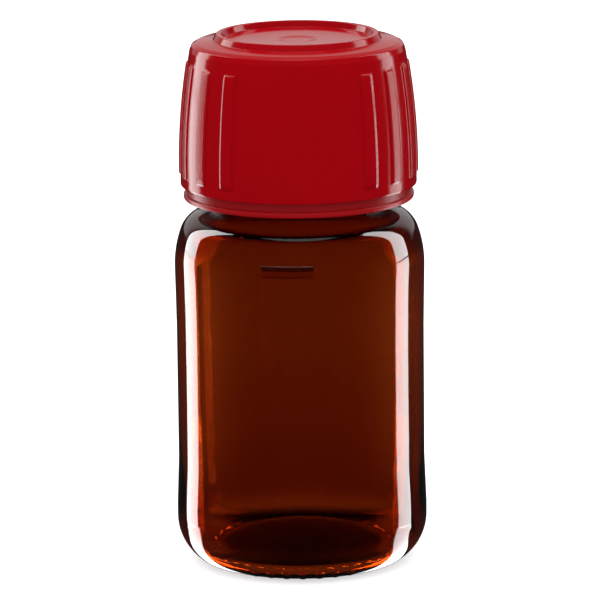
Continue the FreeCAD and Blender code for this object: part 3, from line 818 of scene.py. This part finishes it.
def red_plastic(name, finish):
    """Red all through, with one of the finishes."""
    roughness, grain_scale, grain_depth = finish
    material, graph, shader = new_material(name)
    tint = graph.nodes.new("ShaderNodeMix")
    tint.data_type = "RGBA"
    tint.inputs["A"].default_value = (*((1 - RED_CLOUD) * part for part in RED), 1)
    tint.inputs["B"].default_value = (*((1 + RED_CLOUD) * part for part in RED), 1)
    graph.links.new(graph.noise(RED_CLOUD_SCALE), tint.inputs["Factor"])
    graph.links.new(tint.outputs["Result"], shader.inputs["Base Color"])
    shader.inputs["Specular IOR Level"].default_value = RED_SPECULAR
    grain = graph.noise(grain_scale, GRAIN_DETAIL)
    low = roughness * (1 - GRAIN_SPREAD)
    high = roughness * (1 + GRAIN_SPREAD)
    graph.links.new(graph.between(grain, low, high), shader.inputs["Roughness"])
    graph.bump(shader, grain, grain_depth)
    return material


def white_liner():
    """The soft white foam of the sealing disc."""
    material, graph, shader = new_material("white liner foam")
    shader.inputs["Base Color"].default_value = (*LINER_WHITE, 1)
    grain = graph.noise(LINER_GRAIN, GRAIN_DETAIL)
    graph.links.new(graph.between(grain, *LINER_ROUGHNESS), shader.inputs["Roughness"])
    graph.bump(shader, grain, LINER_DEPTH)
    return material


def paint_ribs(cap):
    """The tops of all but the front pair of ribs take the cap's second material."""
    for face in cap.data.polygons:
        middle = face.center / MM
        angle = math.degrees(math.atan2(middle.x, -middle.y))
        reach = math.hypot(middle.x, middle.y)
        side = side_at(max(middle.z, SIDE_START))
        outside = middle.z > RIB_FOOT and reach > side + RIB_RELIEF * RIB_TOP_SHARE
        beyond = abs(angle) > RIB_FIRST + RIB_ANGLE
        if outside and beyond and on_rib(middle.z, angle) > RIB_TOP_SURE:
            face.material_index = 1


# The floor. Its lengths are in metres, and it is bright behind the object, clear of its foot,
# round which glass sees a painted shadow.
FLOOR_HALF = 6.0
FLOOR_GREY = 0.5
FLOOR_LIFT = 0.6
# Painted shadow round the foot: the glow that glass sees fades in between these distances from the
# axis.
PAINTED_FOOT_SHADOW = (0.016, 0.027)
BACK_EDGE = (35, 50)

# The studio: what gloss, glass and matte surfaces see. Angles are heights, or lie away from
# straight behind the object, and each pair is where a change starts and where it ends.
WALL_FOOT = (0.0, 4.0)
WALL_GLOSS = 0.6
DARK_SIDES = (60.0, 120.0)
DARK_LEVELS = (0.02, 0.004)
TOP_LIGHT = (66.0, 72.0)
TOP_RADIANCE = 1.2
SOFT_LEVELS = (0.85, 2.6)
ROOM_FROM = (75.0, 88.0)
ROOM_LEVEL = 0.35
CEILING_FROM = (40.0, 62.0)
CEILING_LEVEL = 0.15

# The side lamps, as (angle from the front, width), with heights in degrees above a point at the
# height of the object's middle. Distances and that height are in metres. Two lamps at the same
# place would hide each other, so those for gloss and for glass have their own distances.
LEFT_LAMP = (-122.5, 21)
RIGHT_LAMP = (109.0, 20)
LAMP_FOOT = -17.3
LAMP_TOP = 55.0
LEFT_SEAM = (-1.6, -1.3)
RIGHT_SEAM = (-2.0, -1.1)
LAMP_LEVEL = 0.04
SIDE_RADIANCE = 7.6
THROUGH_RADIANCE = {"left": 26.0, "right": 16.0}
GLOSS_DISTANCE = 0.9
THROUGH_DISTANCE = 1.1

# The crescents of light on the table, as (angle, height), between two ellipses
PATCH_TOP = -15.3
PATCH_MIDDLE = (20.0, -15.0)
PATCH_SHIFT = (13.0, -4.0)
PATCH_OUTER = (50.0, 26.0)
PATCH_INNER = (27.0, 13.0)
PATCH_OUTER_EDGE = (0.94, 1.04)
PATCH_INNER_EDGE = (0.94, 1.06)
PATCH_BACK_EDGE = (9.0, 13.0)
PATCH_RADIANCE = THROUGH_RADIANCE["left"]


def floor_material():
    """White to the camera with the object's soft shadow. Glass sees it white only behind the object
    and clear of its foot, where a painted shadow darkens its glow, and looks through it elsewhere."""
    material, graph, shader = new_material("pale floor")
    nodes = graph.nodes
    nodes.remove(shader)
    path = nodes.new("ShaderNodeLightPath").outputs
    place = nodes.new("ShaderNodeTexCoord").outputs["Object"]
    length = nodes.new("ShaderNodeVectorMath")
    length.operation = "LENGTH"
    graph.links.new(place, length.inputs[0])
    aside, _ = graph.away_from_back(place)
    matte = nodes.new("ShaderNodeBsdfDiffuse")
    matte.inputs["Color"].default_value = (FLOOR_GREY, FLOOR_GREY, FLOOR_GREY, 1)
    lift = nodes.new("ShaderNodeEmission")
    lift_level = graph.maths("MULTIPLY", path["Is Camera Ray"], FLOOR_LIFT)
    graph.links.new(lift_level, lift.inputs["Strength"])
    lit = nodes.new("ShaderNodeAddShader")
    graph.links.new(matte.outputs["BSDF"], lit.inputs[0])
    graph.links.new(lift.outputs["Emission"], lit.inputs[1])
    glow_with_painted_shadow = nodes.new("ShaderNodeEmission")
    # Painted shadow: the floor's glow for glass fades out towards the foot.
    graph.links.new(graph.ease(length.outputs["Value"], *PAINTED_FOOT_SHADOW), glow_with_painted_shadow.inputs["Strength"])
    clear = nodes.new("ShaderNodeBsdfTransparent")
    behind = graph.ease(aside, *BACK_EDGE, 1.0, 0.0)
    through = graph.mixed(behind, clear.outputs["BSDF"], glow_with_painted_shadow.outputs["Emission"])
    whole = graph.mixed(path["Is Transmission Ray"], lit.outputs["Shader"], through)
    graph.links.new(whole, nodes["Material Output"].inputs["Surface"])
    return material


def make_floor():
    """A wide plain floor, which gloss doesn't see."""
    half = FLOOR_HALF
    corners = [(-half, -half, 0), (half, -half, 0), (half, half, 0), (-half, half, 0)]
    data = bpy.data.meshes.new("floor")
    data.from_pydata(corners, [], [(0, 1, 2, 3)])
    floor = bpy.data.objects.new("floor", data)
    bpy.context.scene.collection.objects.link(floor)
    paint(floor, floor_material())
    floor.visible_glossy = False


def table_patch(graph, across, aside, up):
    """1 inside the bent lower end of each side lamp's picture on the table, a crescent that runs
    from the lamp's foot down and round towards the back."""
    right = graph.maths("GREATER_THAN", across, 0.0)
    offsets = []
    for value, middle, shift in zip((aside, up), PATCH_MIDDLE, PATCH_SHIFT):
        offset = graph.maths("SUBTRACT", value, middle)
        offsets.append(graph.maths("SUBTRACT", offset, graph.maths("MULTIPLY", right, shift)))
    rings = []
    for halves in (PATCH_OUTER, PATCH_INNER):
        squares = [
            graph.maths("POWER", graph.maths("DIVIDE", offset, half), 2.0)
            for offset, half in zip(offsets, halves)
        ]
        rings.append(graph.maths("ADD", *squares))
    inside = graph.ease(rings[0], *PATCH_OUTER_EDGE, 1.0, 0.0)
    inside = graph.maths("MULTIPLY", inside, graph.ease(rings[1], *PATCH_INNER_EDGE))
    inside = graph.maths("MULTIPLY", inside, graph.ease(aside, *PATCH_BACK_EDGE))
    return graph.maths("MULTIPLY", inside, graph.maths("LESS_THAN", up, PATCH_TOP))


def glossy_light(graph, aside, up, behind, patch):
    """What gloss sees: dark sides, a white wall behind, a light above and the table patch."""
    wall = graph.maths("MULTIPLY", behind, graph.ease(up, *WALL_FOOT))
    sides = graph.ease(aside, *DARK_SIDES, *DARK_LEVELS)
    light = graph.maths("MULTIPLY_ADD", wall, WALL_GLOSS, sides)
    light = graph.maths("MULTIPLY_ADD", graph.ease(up, *TOP_LIGHT), TOP_RADIANCE, light)
    return graph.maths("MULTIPLY_ADD", patch, SIDE_RADIANCE, light)


def through_light(graph, aside, up, behind, patch):
    """What glass lets through: a white wall behind, a dim room in front and the table patch."""
    backdrop = graph.maths("ADD", behind, graph.ease(aside, *ROOM_FROM, 0.0, ROOM_LEVEL))
    ceiling = graph.ease(up, *CEILING_FROM, 1.0, CEILING_LEVEL)
    light = graph.maths("MULTIPLY", ceiling, backdrop)
    return graph.maths("MULTIPLY_ADD", patch, PATCH_RADIANCE, light)


def make_world():
    """White to the camera, a white wall behind for glass and gloss, soft light for the rest.
    Below the side lamps, a slanting bright patch stands for the lit table beside the foot."""
    world = bpy.data.worlds.new("studio")
    bpy.context.scene.world = world
    world.use_nodes = True
    graph = Graph(world.node_tree)
    path = graph.nodes.new("ShaderNodeLightPath").outputs
    place = graph.nodes.new("ShaderNodeTexCoord").outputs["Generated"]
    aside, parts = graph.away_from_back(place)
    up = graph.maths("MULTIPLY", graph.maths("ARCSINE", parts["Z"]), 180 / math.pi)
    behind = graph.ease(aside, *BACK_EDGE, 1.0, 0.0)
    patch = table_patch(graph, parts["X"], aside, up)
    soft = graph.ease(parts["Z"], 0.0, 1.0, *SOFT_LEVELS)
    through = through_light(graph, aside, up, behind, patch)
    glossy = glossy_light(graph, aside, up, behind, patch)
    mirror = graph.maths("SUBTRACT", path["Is Glossy Ray"], path["Is Transmission Ray"])
    mirror = graph.maths("GREATER_THAN", mirror, 0.5)
    total = path["Is Camera Ray"]
    total = graph.maths("MULTIPLY_ADD", path["Is Diffuse Ray"], soft, total)
    total = graph.maths("MULTIPLY_ADD", path["Is Transmission Ray"], through, total)
    total = graph.maths("MULTIPLY_ADD", mirror, glossy, total)
    background = graph.nodes["Background"]
    background.inputs["Color"].default_value = (1, 1, 1, 1)
    graph.links.new(total, background.inputs["Strength"])


def add_strip(name, lamp_place, distance, radiance, heights):
    """A tall soft box at an angle from the front, from one angle of height to another."""
    azimuth, spread = lamp_place
    low, high = (distance * math.tan(math.radians(angle)) for angle in heights)
    light = bpy.data.lights.new(name, "AREA")
    light.shape = "RECTANGLE"
    light.size = 2 * distance * math.tan(math.radians(spread / 2))
    light.size_y = high - low
    light.energy = radiance * math.pi * light.size * light.size_y
    lamp = bpy.data.objects.new(name, light)
    bpy.context.scene.collection.objects.link(lamp)
    turn = math.radians(azimuth)
    height = (low + high) / 2 + LAMP_LEVEL
    lamp.location = (distance * math.sin(turn), -distance * math.cos(turn), height)
    lamp.rotation_mode = "QUATERNION"
    aim = Vector((-math.sin(turn), math.cos(turn), 0))
    lamp.rotation_quaternion = aim.to_track_quat("-Z", "Y")
    lamp.visible_camera = False
    lamp.visible_diffuse = False
    return lamp


def make_lamps():
    """The two side soft boxes, once for gloss and once, brighter, for what the glass lets through.
    A dark seam parts each box's lower end."""
    for name, place, seam in (("left", LEFT_LAMP, LEFT_SEAM), ("right", RIGHT_LAMP, RIGHT_SEAM)):
        level = THROUGH_RADIANCE[name]
        for part, heights in (("_low", (LAMP_FOOT, seam[0])), ("_high", (seam[1], LAMP_TOP))):
            title = name + part
            gloss = add_strip(title + "_gloss", place, GLOSS_DISTANCE, SIDE_RADIANCE, heights)
            gloss.visible_transmission = False
            through = add_strip(title + "_through", place, THROUGH_DISTANCE, level, heights)
            through.visible_glossy = False


# The camera, as the photograph was taken: places and clipping in metres
EYE = Vector((0, -0.630, 0.176))
AIM = Vector((0, 0, 0.0375))
SENSOR = 36
LENS = 271.6
ROLL = -0.62
CLIPPING = (0.05, 20)


def make_camera():
    """A long lens that looks slightly down at the bottle, rolled a little as in the photograph."""
    data = bpy.data.cameras.new("camera")
    data.sensor_width = SENSOR
    data.lens = LENS
    data.clip_start, data.clip_end = CLIPPING
    camera = bpy.data.objects.new("camera", data)
    bpy.context.scene.collection.objects.link(camera)
    camera.location = EYE
    camera.rotation_mode = "QUATERNION"
    look = (AIM - EYE).to_track_quat("-Z", "Y")
    roll = Matrix.Rotation(math.radians(ROLL), 3, "Z").to_quaternion()
    camera.rotation_quaternion = look @ roll
    bpy.context.scene.camera = camera


# Put together: pieces, their materials, and the stage

glass = make_glass()
cap = make_outer_cap()
band = make_tamper_band()

gloss_red = red_plastic("glossy red plastic", GLOSSY)
grained_red = red_plastic("grained red plastic", GRAINED)
satin_red = red_plastic("satin red plastic", SATIN)
paint(glass, amber_glass(), shaded_glass())
shade_bar(glass)
paint(cap, gloss_red, grained_red)
paint_ribs(cap)
paint(band, satin_red)
paint(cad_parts["inner_cap"], satin_red)
paint(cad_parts["seal_liner"], white_liner())

make_floor()
make_world()
make_lamps()
make_camera()
bpy.context.scene.view_settings.view_transform = "Standard"
